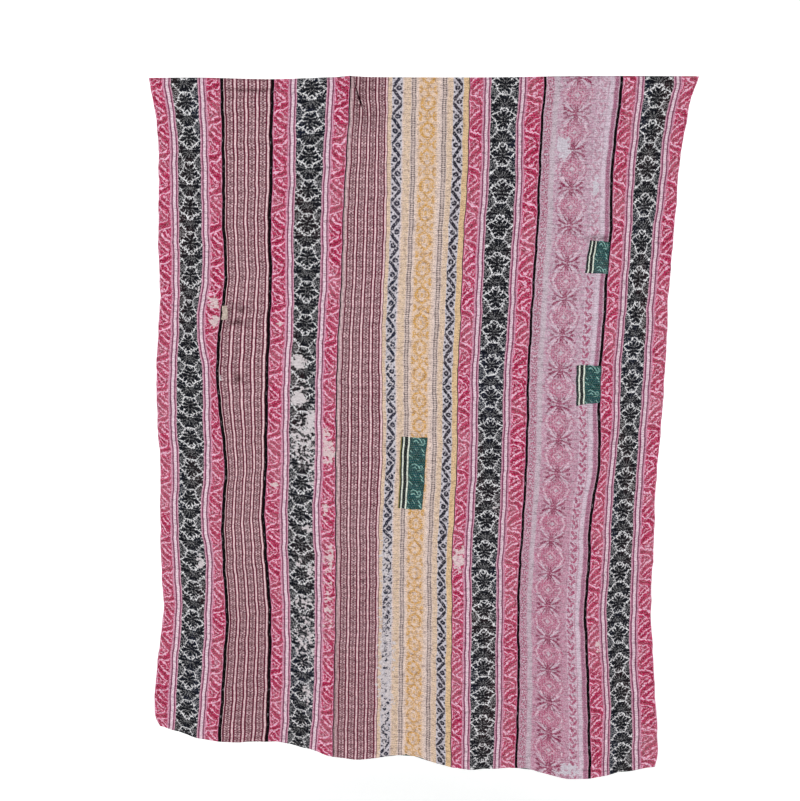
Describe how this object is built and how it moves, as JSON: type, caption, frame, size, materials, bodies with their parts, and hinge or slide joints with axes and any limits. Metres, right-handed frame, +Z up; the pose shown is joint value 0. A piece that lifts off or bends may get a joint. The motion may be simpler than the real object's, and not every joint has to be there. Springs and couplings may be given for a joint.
{
  "type": "hanging kantha quilt",
  "caption": "Thin hand-stitched striped cotton quilt hanging by its top edge in soft upright folds, with a wavy hem and small mending patches sewn to its face.",
  "frame": {"origin": "middle of the top edge, in the middle of the cloth's thickness, where the quilt is held up", "axes": "+Z up, along the drop; +X to the right as the printed face is seen; the face looks along -Y"},
  "size_m": [1.5076, 0.0483, 1.9214],
  "materials": {
    "printed_cotton": "matte old cotton, printed in crimson, charcoal, maroon, ochre and pale pink stripes and worn white in places",
    "green_cotton": "matte dark green printed cotton with pale mint lines",
    "cream_cotton": "matte plain cream cotton"
  },
  "bodies": {
    "root": {"quilt": "printed_cotton", "green_patch_upper": "green_cotton", "green_patch_lower": "green_cotton", "green_patch_large": "green_cotton", "cream_patch": "cream_cotton"}
  },
  "joints": []
}
